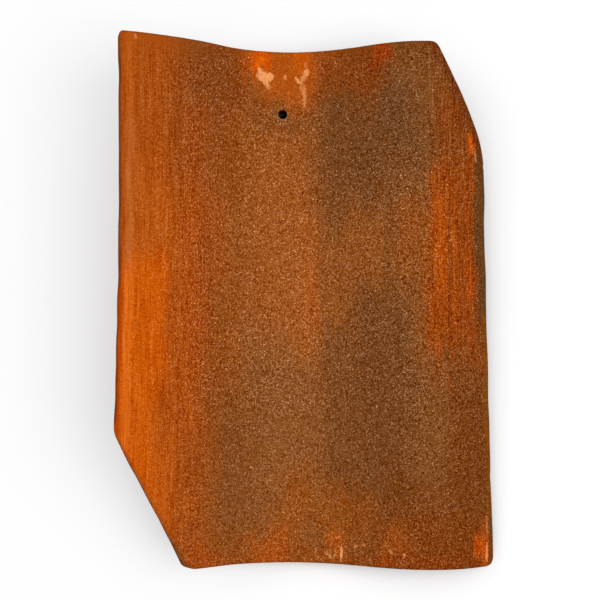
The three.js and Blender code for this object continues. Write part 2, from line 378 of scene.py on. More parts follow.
def nib_level(a, b, height, inward):
    """A level loop of the nib's sides or tip."""
    edge, outward = nib_edge(a, b)
    place = edge + outward * (nib_widening(height) - inward)
    return np.concatenate([place, np.full(place.shape[:-1] + (1,), height)], axis=-1)


def nib_root_on_bat(a, b):
    """The nib's outermost loop, as places on the bat's underside."""
    rim = nib_root(a, b, 0.0, NIB_ROOT_RADIUS)
    return np.stack([bat_place(rim[..., 0], rim[..., 1], THICKNESS), rim[..., 1]], axis=-1)


nib_size = NIB_TIP / 2 + nib_widening(PAN_UNDERSIDE) + NIB_ROOT_RADIUS
nib_on_bat = (float(bat_place(NIB_MIDDLE[0], NIB_MIDDLE[1], THICKNESS)), NIB_MIDDLE[1])
nib_block = block_of_cells(nib_on_bat, nib_size - NIB_BLOCK_INSET)

# ----------------------------------------
# The marks on the clay: the mould's slight unevenness, drag lines down the tile, scuffs where the
# facing has been knocked off and pale clay shows, and nicks in the rim.

UNEVENNESS = 0.16
DRAG_DEPTH = 0.07
DRAG_STRETCH = 14.0
UNDER_LIFT = 0.25
UNDER_DRAG_DEPTH = 0.14
UNDER_DRAG_STRETCH = 16.0
CALM_EDGE = 16.0
SCUFF_SLOPE = (0.55, 1.15)

# Each scuff: across, along, half its width, half its length, how far it leans to the right (degrees),
# how deep it goes, and how pale it shows.
SCUFFS = [
    (103.8, 324.2, 4.4, 3.6, 20, 0.75, 1.0),
    (107.8, 324.0, 3.0, 2.6, -20, 0.6, 1.0),
    (101.6, 327.6, 1.7, 2.3, -25, 0.45, 0.95),
    (105.4, 320.4, 1.8, 2.6, -35, 0.55, 0.9),
    (107.4, 317.4, 1.4, 1.6, -30, 0.3, 0.45),
    (132.9, 327.2, 2.0, 2.7, 10, 0.45, 0.75),
    (131.2, 323.8, 1.5, 2.6, -12, 0.35, 0.6),
    (126.8, 322.2, 2.0, 0.8, 62, 0.35, 0.95),
    (128.8, 320.8, 1.1, 1.2, 0, 0.3, 0.8),
    (118.4, 324.0, 1.7, 0.9, 80, 0.25, 0.5),
    (132.6, 332.4, 1.6, 0.8, 80, 0.15, 0.35),
    (130.4, 317.2, 2.2, 3.2, -6, 0.15, 0.34),
    (131.5, 311.4, 1.3, 6.8, 2, 0.12, 0.52),
    (155.8, 7.4, 0.8, 4.8, 2, 0.45, 1.0),
    (151.2, 7.4, 0.6, 3.4, 4, 0.25, 0.45),
    (147.6, 5.2, 1.6, 1.2, 30, 0.3, 0.55),
    (145.6, 7.4, 1.1, 1.2, 0, 0.25, 0.45),
    (138.4, 8.0, 0.6, 2.2, 0, 0.15, 0.3),
    (165.6, 12.6, 0.9, 1.4, 10, 0.15, 0.3),
    (171.6, 14.0, 1.1, 0.8, 0, 0.2, 0.35),
    (176.2, 5.0, 0.9, 0.8, 0, 0.2, 0.55),
    (190.6, 11.2, 1.3, 1.5, 0, 0.2, 0.4),
    (187.4, 14.6, 0.9, 0.7, 0, 0.15, 0.35),
    (199.2, 9.6, 0.7, 1.3, 10, 0.25, 0.7),
    (249.6, 9.2, 0.7, 0.7, 0, 0.25, 0.6),
    (256.2, 9.5, 0.75, 6.2, 1, 0.15, 0.7),
    (255.6, 6.4, 0.9, 2.2, 0, 0.25, 0.5),
    (256.8, 27.0, 0.8, 7.0, -3, 0.1, 0.25),
    (253.9, 267.6, 0.6, 4.2, -6, 0.2, 0.5),
    (10.6, 338.0, 0.8, 1.6, -20, 0.25, 0.4),
]

# Each nick in the rim: across, along and deep of its middle, outside the clay, and its radius.
NICKS = [
    (94.0, 344.6, -1.2, 4.0),
    (128.5, 343.8, -0.6, 2.9),
    (171.0, 344.8, -1.0, 4.2),
    (212.0, 343.6, -1.6, 3.6),
    (264.6, 262.0, -1.8, 3.9),
    (265.6, 171.0, -0.8, 3.85),
    (265.0, 58.0, -1.4, 3.95),
    (244.0, -2.2, -1.0, 3.6),
    (192.0, -2.6, -0.8, 3.95),
    (139.5, -2.2, -1.2, 3.6),
    (84.0, -2.4, -1.0, 4.0),
    (-1.4, 121.0, -1.6, 4.0),
    (-2.4, 238.0, -0.8, 4.0),
    (20.0, 344.4, -1.0, 3.8),
    (160.0, -2.4, 14.2, 4.4),
    (60.0, 344.8, 14.0, 4.6),
    (266.0, 120.0, 13.6, 4.4),
]


def scuff_depth(across, along):
    """How deep the scuffs go: each is an ellipse, level inside and rounded off at its edge, and where
    two overlap the deeper counts."""
    depth = np.zeros(np.broadcast(across, along).shape)
    for middle, up, wide, long, lean, deepest, _ in SCUFFS:
        turn = np.radians(lean)
        x = ((across - middle) * np.cos(turn) - (along - up) * np.sin(turn)) / wide
        y = ((across - middle) * np.sin(turn) + (along - up) * np.cos(turn)) / long
        depth = np.maximum(depth, deepest * (1 - smooth(np.hypot(x, y), *SCUFF_SLOPE)))
    return depth


def top_relief(across, along):
    """How much lower than the smooth bend the top face lies."""
    uneven = UNEVENNESS * waves(21, across, along, longest=140, shortest=45)
    drag = DRAG_DEPTH * waves(22, across, along / DRAG_STRETCH, longest=22, shortest=6)
    return uneven + drag + scuff_depth(across, along)


def under_relief(across, along):
    """How much higher than the smooth bend the underside lies: never below it, so that the tile still
    rests on the floor."""
    uneven = UNEVENNESS * waves(31, across, along, longest=120, shortest=40)
    drag = UNDER_DRAG_DEPTH * waves(32, across, along / UNDER_DRAG_STRETCH, longest=26, shortest=6)
    return np.maximum(UNDER_LIFT + uneven + drag, 0)


def nicked(places):
    """Pushes every point that lies in a nick's sphere out to the sphere, which leaves a hollow bite."""
    for *middle, radius in NICKS:
        offset = places - np.array(middle)
        distance = np.maximum(np.linalg.norm(offset, axis=-1, keepdims=True), NEVER_ZERO)
        places = np.where(distance < radius, middle + offset * radius / distance, places)
    return places


# The points of the clay: the top, the underside, the wall between them and the bore.
WALL_RINGS = 5

top_grid = drawn_onto(skin, hole_block, hole_outline(HOLE_RADIUS + HOLE_WORN_RIM), HOLE_REACH)
under_grid = drawn_onto(skin, nib_block, nib_root_on_bat, NIB_REACH)
under_grid = drawn_onto(under_grid, hole_block, hole_outline(HOLE_RADIUS + HOLE_BURR_SPREAD), HOLE_REACH)
from_hole = around(hole_block)[2]
from_nib = around(nib_block)[2]
burr = HOLE_BURR * smooth(from_hole, *BURR_RISE) * (1 - smooth(from_hole, *BURR_FALL))
calm_top = smooth(from_hole, *EVEN_BY_HOLE)
calm_under = calm_top * smooth(from_nib, 1, NIB_REACH)
calm_under *= smooth(row_along[:, None], EDGE_RADIUS, CALM_EDGE)
calm_under *= smooth(right - flat, EDGE_RADIUS, CALM_EDGE)
across, along = np.moveaxis(top_grid, -1, 0)
top_places = np.dstack([top_grid, drawn_in + calm_top * top_relief(across, along)])
across, along = np.moveaxis(under_grid, -1, 0)
under_deep = THICKNESS - drawn_in - calm_under * under_relief(across, along) + burr
under_places = np.dstack([under_grid, under_deep])

wall_share = np.linspace(0, 1, WALL_RINGS + 2)[1:-1, None, None]
wall_places = border(top_places) + (border(under_places) - border(top_places)) * wall_share
a, b, _ = around(hole_block)
hole_a, hole_b = border(a[inside(hole_block)]), border(b[inside(hole_block)])
bore_places = np.stack([
    np.column_stack([hole_outline(HOLE_RADIUS + wider)(hole_a, hole_b), np.full(hole_a.shape, deep)])
    for deep, wider in BORE_RINGS
])
bat_places = nicked(np.concatenate([
    block.reshape(-1, 3) for block in (top_places, under_places, wall_places, bore_places)
]))

# The points of the nib: its loops from the underside down, and the grid of its flat tip.
a, b, out = (part[inside(nib_block)] for part in around(nib_block))
nib_a, nib_b = border(a), border(b)
turns = np.linspace(0, np.pi / 2, NIB_TURNS)
nib_loops = [
    nib_root(nib_a, nib_b, NIB_ROOT_RADIUS * (1 - np.cos(turn)), NIB_ROOT_RADIUS * (1 - np.sin(turn)))
    for turn in turns[1:]
]
nib_loops += [
    nib_level(nib_a, nib_b, NIB_TIP_HEIGHT + NIB_TIP_RADIUS * (1 - np.sin(turn)),
              NIB_TIP_RADIUS * (1 - np.cos(turn)))
    for turn in turns[:-1]
]
tip_edge = nib_level(a, b, NIB_TIP_HEIGHT, NIB_TIP_RADIUS)
tip_middle = np.array([*NIB_MIDDLE, NIB_TIP_HEIGHT])
nib_tip = tip_middle + (tip_edge - tip_middle) * out[..., None]
nib_points = np.concatenate([np.concatenate(nib_loops), nib_tip.reshape(-1, 3)])
nib_deep = THICKNESS + np.maximum(PAN_UNDERSIDE - nib_points[:, 2], 0)
nib_places = np.column_stack([
    bat_place(nib_points[:, 0], nib_points[:, 1], THICKNESS), nib_points[:, 1], nib_deep
])

# The numbers of those points, and the faces between them.
top = np.arange(ROWS * COLUMNS).reshape(ROWS, COLUMNS)
under = top + top.size
wall = under.max() + 1 + np.arange(wall_places[..., 0].size).reshape(WALL_RINGS, -1)
bore = wall.max() + 1 + np.arange(bore_places[..., 0].size).reshape(len(BORE_RINGS), -1)
loops = bore.max() + 1 + np.arange(len(nib_loops) * len(nib_a)).reshape(len(nib_loops), -1)
tip = loops.max() + 1 + np.arange(out.size).reshape(out.shape)


def skin_faces(numbers, blocks):
    """The faces of a skin, without the cells of some blocks."""
    kept = np.ones((ROWS - 1, COLUMNS - 1), bool)
    for (bottom, top_row), (first, last) in blocks:
        kept[bottom:top_row, first:last] = False
    return quads(numbers)[kept.ravel()]


faces = np.concatenate([
    skin_faces(top, [hole_block]),
    skin_faces(under, [hole_block, nib_block])[:, ::-1],
    loft([border(under), *wall[::-1], border(top)]),
    loft([border(top[inside(hole_block)]), *bore, border(under[inside(hole_block)])]),
    loft([border(tip), *loops[::-1], border(under[inside(nib_block)])]),
    quads(tip)[:, ::-1],
])


def added(name, data):
    """Makes an object of a mesh, a lamp or a camera and puts it into the scene."""
    made = bpy.data.objects.new(name, data)
    bpy.context.scene.collection.objects.link(made)
    return made


def laid_down(points):
    """Turns the tile so that the direction that points up once it lies at rest is up, with its head
    still along +Y."""
    up = np.array([-np.sin(np.radians(FALL_TO_THE_RIGHT)), np.sin(np.radians(CLIMB_TO_THE_HEAD)), 0])
    up[2] = np.sqrt(1 - up @ up)
    ahead = np.array([0, 1, 0]) - up[1] * up
    ahead /= np.linalg.norm(ahead)
    return points @ np.stack([np.cross(ahead, up), ahead, up]).T


# The smooth tile's box lands on the CAD solid's box, and the worn one goes with it.
node_low, node_high = (np.array(corner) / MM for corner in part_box("pantile"))
smooth_skins = np.concatenate([
    bend(*np.moveaxis(skin, -1, 0), drawn_in).reshape(-1, 3),
    bend(*np.moveaxis(skin, -1, 0), THICKNESS - drawn_in).reshape(-1, 3),
    nib_points,
])
smooth_skins = laid_down(smooth_skins)
seat = (node_low + node_high) / 2 - (smooth_skins.min(axis=0) + smooth_skins.max(axis=0)) / 2
seat[2] = node_low[2] - smooth_skins[:, 2].min()


def piece_mesh(name, points, places, faces):
    """Makes an object of points in millimetres on the bent tile, laid down and seated, with their
    places on the bat as its attribute "bat". Points that no face uses are left out."""
    used, renumbered = np.unique(faces, return_inverse=True)
    mesh = bpy.data.meshes.new(name)
    mesh.from_pydata(
        ((laid_down(points[used]) + seat) * MM).tolist(), [], renumbered.reshape(faces.shape).tolist()
    )
    mesh.attributes.new("bat", "FLOAT_VECTOR", "POINT").data.foreach_set(
        "vector", places[used].astype(np.float32).ravel()
    )
    mesh.shade_smooth()
    return added(name, mesh)


tile = piece_mesh(
    "pantile_clay",
    np.concatenate([bend(*bat_places.T), nib_points]),
    np.concatenate([bat_places, nib_places]),
    faces,
)
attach(tile, "root")
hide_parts("pantile")

# ----------------------------------------
# The finish: iron-rich clay that burns orange where the fire reaches it and brown to umber where
# the tiles lean on one another in the kiln, which leaves straight-sided flashes down the tile. The
# top is faced with fine sand, and scuffs show the pale clay under it.


def srgb(red, green, blue):
    """A display colour from 0 to 255 as the linear colour that a shader takes."""
    share = np.array([red, green, blue]) / 255
    return (*np.where(share <= 0.04045, share / 12.92, ((share + 0.055) / 1.055) ** 2.4), 1.0)


ORANGE = srgb(207, 92, 6)
# The deep orange paints shade down the left rim.
DEEP_ORANGE_SHADE = srgb(188, 70, 4)
AMBER = srgb(187, 89, 19)
TAWNY = srgb(178, 82, 15)
RUST = srgb(163, 78, 20)
DARK_RUST = srgb(145, 74, 23)
SAND_RED = srgb(158, 82, 21)
FAWN = srgb(160, 87, 31)
COPPER = srgb(171, 94, 35)
ROSE_BROWN = srgb(148, 88, 40)
OLIVE_BROWN = srgb(142, 81, 33)
CHESTNUT = srgb(154, 79, 20)
RUSSET = srgb(142, 70, 17)
COCOA = srgb(125, 65, 18)
TAN = srgb(158, 89, 33)
SMOKE_BROWN = srgb(134, 79, 34)
UMBER = srgb(127, 75, 33)
DARK_UMBER = srgb(118, 72, 36)
FIRE = srgb(157, 70, 7)
MAROON = srgb(131, 62, 9)
# This colour paints shade down the right edge.
RIGHT_EDGE_SHADE = srgb(107, 66, 30)
# This near-black paints shade in the nail hole.
HOLE_SHADE = srgb(48, 28, 16)
RIM_BROWN_AND_SHADE = srgb(112, 50, 9)
RIM_RED = srgb(142, 58, 4)
FLAME = srgb(210, 85, 3)
EMBER = srgb(170, 62, 2)
HOT_FLAME = srgb(232, 106, 2)
# This bright orange is partly the fire's colour and partly painted light on the shaded foot mitre face.
MITRE_FLAME_AND_LIGHT = srgb(215, 100, 24)
# This brown paints shade down the right edge near the foot.
RIGHT_EDGE_SHADE_BROWN = srgb(134, 74, 18)
WORN_RIM = srgb(142, 110, 84)
# The two pale lip colours paint the highlight down the rounded left lip.
LIP_HIGHLIGHT = srgb(226, 108, 25)
DULL_LIP_HIGHLIGHT = srgb(190, 98, 38)
PALE_CLAY = srgb(250, 166, 100)
PALE_SAND = srgb(222, 168, 124)
DARK_SAND = srgb(70, 36, 18)
BODY_CLAY = srgb(172, 88, 42)
SMOKED_CLAY = srgb(126, 72, 40)

# The flashes, in the order in which each lies over the last: colour, strength, how far across and
# along it reaches, and how soft its sides and its ends are. None is past the edge of the clay. Most are
# the kiln's colours; a few paint light and shade, as marked below.
ALL = (None, None)
FLASHES = [
    # the pan; the greyer browns over its bottom, about 100 to 143 across, are partly a painted sheen
    (COPPER, 0.6, (100, 141), (None, 262), 12, 24),
    (COPPER, 1.0, (124, 143), (150, 222), 6, 22),
    (CHESTNUT, 1.0, (60, 90), (254, 302), 10, 12),
    (OLIVE_BROWN, 0.8, (96, 142), (284, None), 14, 10),
    (RUSSET, 0.9, (64, 96), (303, None), 12, 10),
    (SAND_RED, 0.6, (60, 84), (None, 190), 9, 30),
    (ROSE_BROWN, 1.0, (88, 160), (None, 146), 14, 22),
    (OLIVE_BROWN, 1.0, (70, 102), (None, 106), 10, 26),
    # the upstand on the left
    (CHESTNUT, 0.6, (None, 72), (60, 252), 6, 20),
    (AMBER, 0.3, (56, 76), (178, 250), 7, 16),
    (RUST, 1.0, (None, 60), ALL, 8, 20),
    (DARK_RUST, 1.0, (44, 76), (302, None), 10, 12),
    (TAWNY, 0.95, (None, 55), (86, 246), 8, 24),
    (TAWNY, 0.95, (None, 43), (None, 110), 8, 24),
    (TAWNY, 0.7, (None, 31.5), ALL, 7, 20),
    (AMBER, 0.9, (None, 36), (170, 250), 5, 20),
    (ORANGE, 1.0, (None, 31), (118, 204), 5, 11),
    (ORANGE, 0.9, (None, 24), (None, 150), 5, 40),
    (ORANGE, 0.5, (16, 36), (None, 72), 6, 20),
    # The next four lines paint a pale stripe down the lip, from 3.4 to 9 across: a painted highlight
    # where the rounded lip faces the light.
    (DULL_LIP_HIGHLIGHT, 1.0, (3.4, 8.5), (180, 302), 1.6, 20),
    (AMBER, 0.9, (3.4, 9), (288, None), 1.6, 16),
    (LIP_HIGHLIGHT, 0.75, (3.4, 8.5), (None, 100), 1.8, 10),
    (LIP_HIGHLIGHT, 1.0, (3.4, 8.5), (102, 193), 1.8, 10),
    # The next two lines paint the outer 3 mm of the left rim darker: a painted shade of the rounded edge
    # that turns away from the light.
    (DEEP_ORANGE_SHADE, 0.8, (None, 3), ALL, 1.4, 12),
    (RUST, 0.75, (None, 3), (188, None), 1.4, 12),
    (RUST, 0.3, (None, 58), (None, 26), 6, 10),
    (AMBER, 0.5, (43, 54), (26, 42), 4, 7),
    # the roll's flank
    (SMOKE_BROWN, 1.0, (143, None), ALL, 7, 20),
    (COPPER, 0.95, (129, 143), (166, 200), 5, 12),
    (AMBER, 0.35, (130, 141), (168, 198), 3, 10),
    (OLIVE_BROWN, 0.7, (134, 150), (232, 300), 8, 14),
    (UMBER, 1.0, (145, 222), (246, 309), 8, 16),
    (DARK_UMBER, 0.9, (186, 208), (266, 312), 6, 12),
    (UMBER, 1.0, (176, 208), (56, 178), 9, 22),
    (COCOA, 0.8, (186, 212), (None, 76), 9, 22),
    (TAN, 1.0, (156, 188), (186, 230), 8, 14),
    (TAN, 0.9, (143, 164), (158, 210), 9, 12),
    # the roll's crest and its right side; the greyer browns over the crest, about 206 to 224 across, are
    # partly a painted sheen
    (CHESTNUT, 0.75, (196, 226), (188, 232), 8, 16),
    (CHESTNUT, 0.35, (207, 224), (130, 190), 5, 16),
    (SMOKE_BROWN, 0.5, (206, 222), (60, 110), 5, 16),
    (RUSSET, 1.0, (224, None), (244, 320), 7, 16),
    (FIRE, 1.0, (217, 260), (132, 258), 4, 14),
    (ORANGE, 0.35, (221.5, 229), (176, 236), 1.2, 10),
    (ORANGE, 0.2, (233.5, 236.5), (150, 240), 1.2, 14),
    (MAROON, 0.45, (229.8, 232.4), (140, 232), 0.9, 12),
    (RUSSET, 0.4, (237, 243), (176, 262), 1.5, 14),
    (RUSSET, 0.7, (246, 253), (158, 172), 1.8, 6),
    (RUSSET, 0.7, (246, 253), (234, 254), 1.8, 6),
    (FLAME, 0.35, (244, 249), (172, 204), 1.5, 8),
    (RUSSET, 0.6, (234, None), (120, 154), 4, 10),
    (COCOA, 1.0, (226, None), (None, 126), 8, 16),
    # The next six lines paint the darker strip down the right edge, from about 250 across: a painted
    # shade of the edge that falls away from the light.
    (COCOA, 0.9, (250, None), (190, 268), 2, 8),
    (COCOA, 0.7, (252, None), (140, 182), 2, 8),
    (RIGHT_EDGE_SHADE, 1.0, (254.6, None), (160, 215), 1.6, 8),
    (RIGHT_EDGE_SHADE, 0.95, (253.2, None), (206, 274), 2.8, 7),
    (RIGHT_EDGE_SHADE_BROWN, 0.7, (257, None), (None, 162), 1.5, 6),
    (RIGHT_EDGE_SHADE, 0.7, (259, None), (None, 40), 1.2, 12),
    (FIRE, 0.6, (248, 254), (240, 268), 1.4, 7),
    (MAROON, 0.6, (234, 247), (262, 294), 2.9, 8),
    (FLAME, 0.95, (247.4, 253), (270, 282), 0.8, 1.5),
    # the head
    (RUSSET, 1.0, (136, 190), (308, None), 9, 11),
    (COCOA, 0.6, (196, 228), (328, None), 8, 7),
    (RIM_RED, 0.7, (176, 198), (327, 338), 5, 4),
    (EMBER, 0.65, (182, 194), (330, None), 2.8, 3),
    (TAWNY, 1.0, (90, 139), (322, None), 7, 9),
    (AMBER, 0.7, (104.5, 136), (306, 332), 7, 9),
    (RUST, 0.6, (138, 158), (326, None), 8, 8),
    (FLAME, 1.0, (95.5, 109), (329, None), 2.6, 3),
    (HOT_FLAME, 0.9, (97, 105), (331.5, 335.5), 1.8, 1.5),
    (ORANGE, 0.65, (124, 136), (327, None), 2.8, 5),
    # the foot
    (CHESTNUT, 1.0, (112, 180), (None, 48), 12, 14),
    (CHESTNUT, 0.8, (66, 112), (None, 30), 12, 10),
    (COCOA, 0.6, (184, 226), (34, 58), 8, 12),
    (RUSSET, 0.8, (180, 212), (None, 32), 8, 10),
    (SAND_RED, 0.6, (184, 200), (2, 20), 5, 6),
    (MAROON, 0.8, (206, 250), (None, 34), 8, 10),
    (RIM_RED, 0.6, (60, 262), (None, 6), 8, 5),
    (TAN, 0.5, (118, 158), (None, 52), 6, 10),
    (TAWNY, 0.7, (54, 76), (None, 14), 8, 8),
    (TAWNY, 0.7, (96, 120), (None, 22), 6, 8),
    (ROSE_BROWN, 0.8, (129, 143), (4, 20), 4, 5),
    (AMBER, 0.9, (146, 157), (9, 20), 3, 5),
    (ROSE_BROWN, 0.5, (161, 178), (6, 18), 3, 4),
    (TAWNY, 0.45, (185, 197), (8, 19), 3, 4),
    (FLAME, 0.25, (183, 191), (1, 7), 2.5, 2),
    (TAWNY, 0.6, (251, 257), (None, 32), 1.2, 8),
    (FLAME, 0.7, (245, 257), (8, 20), 2.6, 4),
]


def node(tree, kind, sockets, **settings):
    """Adds a shader node, sets each of its sockets to a value or links it to another node's output, and
    returns its outputs."""
    made = tree.nodes.new("ShaderNode" + kind)
    for setting, value in settings.items():
        setattr(made, setting, value)
    for socket, value in sockets.items():
        if isinstance(value, bpy.types.NodeSocket):
            tree.links.new(value, made.inputs[socket])
        else:
            made.inputs[socket].default_value = value
    return made.outputs


def calc(tree, operation, first, second=0.0):
    """One sum on one or two values."""
    return node(tree, "Math", {0: first, 1: second}, operation=operation)[0]


def vector(tree, operation, *values):
    """One sum on vectors."""
    return node(tree, "VectorMath", dict(enumerate(values)), operation=operation)


def times(tree, value, *others):
    """The product of some values."""
    for other in others:
        value = calc(tree, "MULTIPLY", value, other)
    return value


def rise(tree, value, start, end, high=1.0, low=0.0):
    """Goes smoothly from low, where the value is at start, to high, where it is at end."""
    sockets = {0: value, 1: start, 2: end, 3: low, 4: high}
    return node(tree, "MapRange", sockets, interpolation_type="SMOOTHSTEP")[0]


def where(tree, most, *rises):
    """The most that something shows, times a smooth rise from 0 to 1 for each (value, start, end)."""
    return times(tree, most, *(rise(tree, *ramp) for ramp in rises))


def paint(tree, under, over, amount, **settings):
    """Lays a colour over another by an amount."""
    return node(tree, "Mix", {0: amount, 6: under, 7: over}, data_type="RGBA", **settings)[2]


def mottle(tree, place, size, detail=2.0, rough=0.5):
    """Cloudy noise with patches of about that size across, along and deep: its value, then three more
    values as a colour. Both are centred on a half."""
    scaled = vector(tree, "MULTIPLY", place, [1 / side for side in size])[0]
    return node(tree, "TexNoise", {"Vector": scaled, "Scale": 1.0, "Detail": detail, "Roughness": rough})


def either_way(tree, cloud, spread, reach):
    """Turns cloudy noise about a half into a value up to that reach either way, which it gets to where
    the noise is that spread away from a half."""
    sockets = {0: cloud, 1: 0.5 - spread, 2: 0.5 + spread, 3: -reach, 4: reach}
    return node(tree, "MapRange", sockets)[0]


def stretch(tree, value, start, end, soft, strength=1.0):
    """Shows by a strength where a value lies between start and end, and fades out over the soft reach
    either way from them. None leaves that side open."""
    if end is None:
        return rise(tree, value, start - soft, start + soft, strength)
    if start is None:
        return rise(tree, value, end + soft, end - soft, strength)
    half = (end - start) / 2
    off = calc(tree, "ABSOLUTE", calc(tree, "SUBTRACT", value, start + half))
    return rise(tree, off, half + soft, half - soft, strength)


def stray(tree, place, *clouds):
    """Moves a place either way by each cloud of three values about a half, times how far that cloud
    reaches across and along."""
    for cloud, reach in clouds:
        off = vector(tree, "SUBTRACT", cloud, (0.5, 0.5, 0.5))[0]
        place = vector(tree, "MULTIPLY_ADD", off, (*reach, 0.0), place)[0]
    return place


def distance(tree, place, middle):
    """How far a place lies from a middle."""
    return vector(tree, "DISTANCE", place, middle)["Value"]


clay = bpy.data.materials.new("fired_clay")
clay.use_nodes = True
tree = clay.node_tree
shader = tree.nodes["Principled BSDF"]
bat = node(tree, "Attribute", {}, attribute_name="bat")["Vector"]
across, along, deep = node(tree, "SeparateXYZ", {0: bat})
on_face = node(tree, "CombineXYZ", {0: across, 1: along})[0]

# The flashes wander, and their borders break up in streaks down the tile and grain by grain. One whose
# sides are less soft than NARROW_FLASH keeps closer to its lines.
NARROW_FLASH = 3.0

broadly = mottle(tree, bat, (30, 70, 40))[1]
in_streaks = mottle(tree, bat, (1.6, 34, 6), detail=3.0, rough=0.6)[1]
by_grains = mottle(tree, bat, (0.9, 0.9, 0.9), detail=1.0)[1]
narrow_place = stray(tree, on_face, (in_streaks, (2, 20)), (by_grains, (3, 8)))
flash_place = stray(tree, on_face, (broadly, (12, 60)), (in_streaks, (15, 50)), (by_grains, (6, 16)))
narrow_across, narrow_along, _ = node(tree, "SeparateXYZ", {0: narrow_place})
flash_across, flash_along, _ = node(tree, "SeparateXYZ", {0: flash_place})

colour = FAWN
for flash_colour, strength, sides, ends, soft_side, soft_end in FLASHES:
    narrow = soft_side < NARROW_FLASH
    shown = stretch(tree, narrow_across if narrow else flash_across, *sides, soft_side, strength)
    if ends != ALL:
        there = stretch(tree, narrow_along if narrow else flash_along, *ends, soft_end)
        shown = times(tree, shown, there)
    colour = paint(tree, colour, flash_colour, shown)


def along_line(tree, place, start, run):
    """How far on from a start a place lies, measured along a direction (across, along)."""
    off = vector(tree, "SUBTRACT", place, (*start, 0.0))[0]
    return vector(tree, "DOT_PRODUCT", off, (*run, 0.0))["Value"]


def inside_line(tree, place, start, end):
    """How far inside the line from start to end a place lies, where the clay is on its left."""
    run = np.array(end) - np.array(start)
    run = run / np.linalg.norm(run)
    return along_line(tree, place, start, (-run[1], run[0]))


# The fire has darkened the clay along the head's mitre. The rims are browned, partly by the fire and
# partly as painted shade of the rounded edges, and the cut face of the foot's mitre is painted bright
# orange, partly the fire's colour and partly painted light that lifts it out of its shade. Each pair
# says where that starts and where it is full.
BY_HEAD_MITRE = (11, 4)
HEAD_MITRE_BROWNED = 0.9
BY_FOOT_MITRE = (4.0, 2.5)
DOWN_RIM = (0.4, 2.2)
RIM_BROWNED_AND_SHADED = 0.5
DOWN_MITRE_FACE = (0.8, 2.6)
UP_MITRE_FACE = (10, 34)

head_mitre = (BAT_WIDTH, LENGTH - HEAD_MITRE[1]), (BAT_WIDTH - HEAD_MITRE[0], LENGTH)
foot_mitre = (0.0, FOOT_MITRE[1]), (FOOT_MITRE[0], 0.0)
from_head_mitre = inside_line(tree, narrow_place, *head_mitre)
darkening = rise(tree, from_head_mitre, *BY_HEAD_MITRE, HEAD_MITRE_BROWNED)
colour = paint(tree, colour, RIM_BROWN_AND_SHADE, darkening)
by_foot_mitre = rise(tree, inside_line(tree, on_face, *foot_mitre), *BY_FOOT_MITRE)
# The rims are painted darker by depth: partly the fire's browning, partly painted shade of the rounded
# edges.
darkening = rise(tree, deep, *DOWN_RIM, RIM_BROWNED_AND_SHADED)
darkening = times(tree, calc(tree, "SUBTRACT", 1.0, by_foot_mitre), darkening)
colour = paint(tree, colour, RIM_BROWN_AND_SHADE, darkening)
# The foot's mitre face is painted bright orange: partly the fire's colour, partly painted light that
# lifts it out of its shade.
painted_light_on_mitre = where(tree, by_foot_mitre, (deep, *DOWN_MITRE_FACE), (along, *UP_MITRE_FACE))
colour = paint(tree, colour, MITRE_FLAME_AND_LIGHT, painted_light_on_mitre)

# The die has dragged the clay into fine lines down the tile, which show most where the facing is
# thin, on the bright bands along both sides, and less on the head's smooth left corner.
LINE_SPREAD = 0.3
LINE_STEP = 0.08
BROAD_LINE_STEP = 0.045
LINES_ELSEWHERE = 0.2
LINES_ON_RIGHT_BAND = 1.4
LINES_LOST_ON_CORNER = 0.48

streaks = mottle(tree, bat, (0.75, 26, 9), rough=0.6)[0]
broad_streaks = mottle(tree, bat, (2.6, 45, 9), rough=0.6)[0]
left_band = rise(tree, across, 75, 40)
right_band = where(tree, 1.0, (across, 214, 222), (across, 256, 248), (flash_along, 110, 150))
smooth_corner = where(tree, left_band, (along, 320, 334))
dragged = rise(tree, left_band, 0.0, 1.0, high=1.0, low=LINES_ELSEWHERE)
dragged = calc(tree, "MAXIMUM", dragged, times(tree, right_band, LINES_ON_RIGHT_BAND))
lines = either_way(tree, streaks, LINE_SPREAD, LINE_STEP)
lines = calc(tree, "ADD", lines, either_way(tree, broad_streaks, LINE_SPREAD, BROAD_LINE_STEP))
off_corner = calc(tree, "SUBTRACT", 1.0, times(tree, smooth_corner, LINES_LOST_ON_CORNER))
lines = times(tree, lines, dragged, off_corner)

# Away from the top face the clay is bare: plain on the cut edges and smoked underneath.
SMOKE_SHOWS = (0.42, 0.62)
FACING_SHOWS = (9.5, 6.5)

smoke = rise(tree, mottle(tree, bat, (34, 70, 30), detail=3.0)[0], *SMOKE_SHOWS)
faced = rise(tree, deep, *FACING_SHOWS)
colour = paint(tree, paint(tree, BODY_CLAY, SMOKED_CLAY, smoke), colour, faced)

# The facing of fine sand: each grain is lighter or darker than the clay that holds it, by the same
# step in red, green and blue as a display shows them, with dark cracks between clumps of grains and a
# few pale specks.
GRAIN_SIZE = 0.62
GRAIN_STEP = 0.34
GRAIN_EDGE = (0.7, 0.35)
CLUMP_SIZE = 1.5
CRACK_STEP = 0.15
CRACK_MIDDLE = 0.45
SPECK_STEP = 0.28
SPECKS_FROM = 0.92
SPECK_EDGE = (0.4, 0.15)
DISPLAY_GAMMA = 2.2

